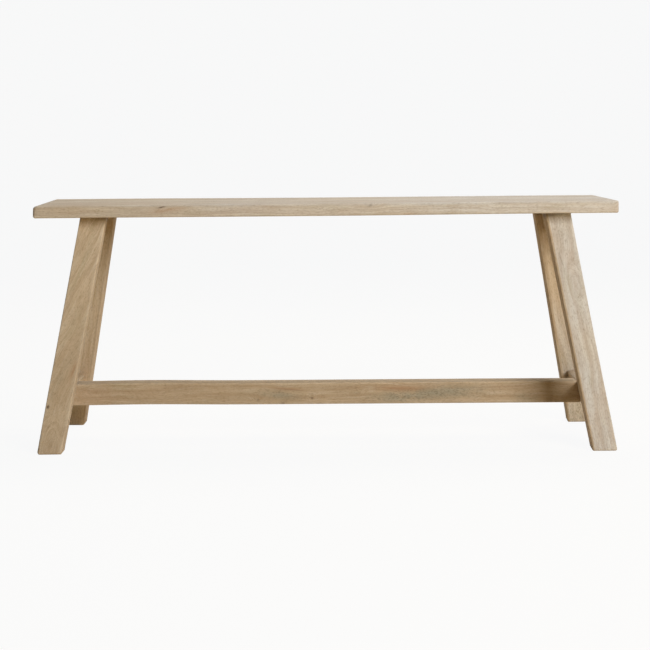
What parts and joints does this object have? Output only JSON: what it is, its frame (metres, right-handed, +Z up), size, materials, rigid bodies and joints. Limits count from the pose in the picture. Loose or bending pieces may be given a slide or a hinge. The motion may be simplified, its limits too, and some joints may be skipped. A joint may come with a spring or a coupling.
{
  "type": "rustic backless bench",
  "caption": "Backless rustic wooden bench: one plank seat on two leaning trestles of square legs, tied by low rails and one long stretcher.",
  "frame": {"origin": "on the floor under the middle of the seat", "axes": "+X along the seat to the right as seen from the front, -Y to the front, +Z up"},
  "size_m": [1.102, 0.3554, 0.4711],
  "materials": {
    "mango_wood": "sanded, raw and matt",
    "peg_hardwood": "cut flush and sanded, end grain, matt",
    "zinc_plated_steel": "bright zinc plate"
  },
  "bodies": {
    "root": {"seat_plank": "mango_wood", "stretcher": "mango_wood", "leg_front_left": "mango_wood", "leg_rear_left": "mango_wood", "leg_front_right": "mango_wood", "leg_rear_right": "mango_wood", "upper_rail_left": "mango_wood", "upper_rail_right": "mango_wood", "lower_rail_left": "mango_wood", "lower_rail_right": "mango_wood", "peg_upper_front_left": "peg_hardwood", "peg_upper_rear_left": "peg_hardwood", "peg_upper_front_right": "peg_hardwood", "peg_upper_rear_right": "peg_hardwood", "peg_lower_front_left": "peg_hardwood", "peg_lower_rear_left": "peg_hardwood", "peg_lower_front_right": "peg_hardwood", "peg_lower_rear_right": "peg_hardwood", "wedge_front_left": "peg_hardwood", "wedge_rear_left": "peg_hardwood", "wedge_front_right": "peg_hardwood", "wedge_rear_right": "peg_hardwood", "seat_screw_front_left": "zinc_plated_steel", "seat_screw_rear_left": "zinc_plated_steel", "seat_screw_front_right": "zinc_plated_steel", "seat_screw_rear_right": "zinc_plated_steel"}
  },
  "joints": []
}
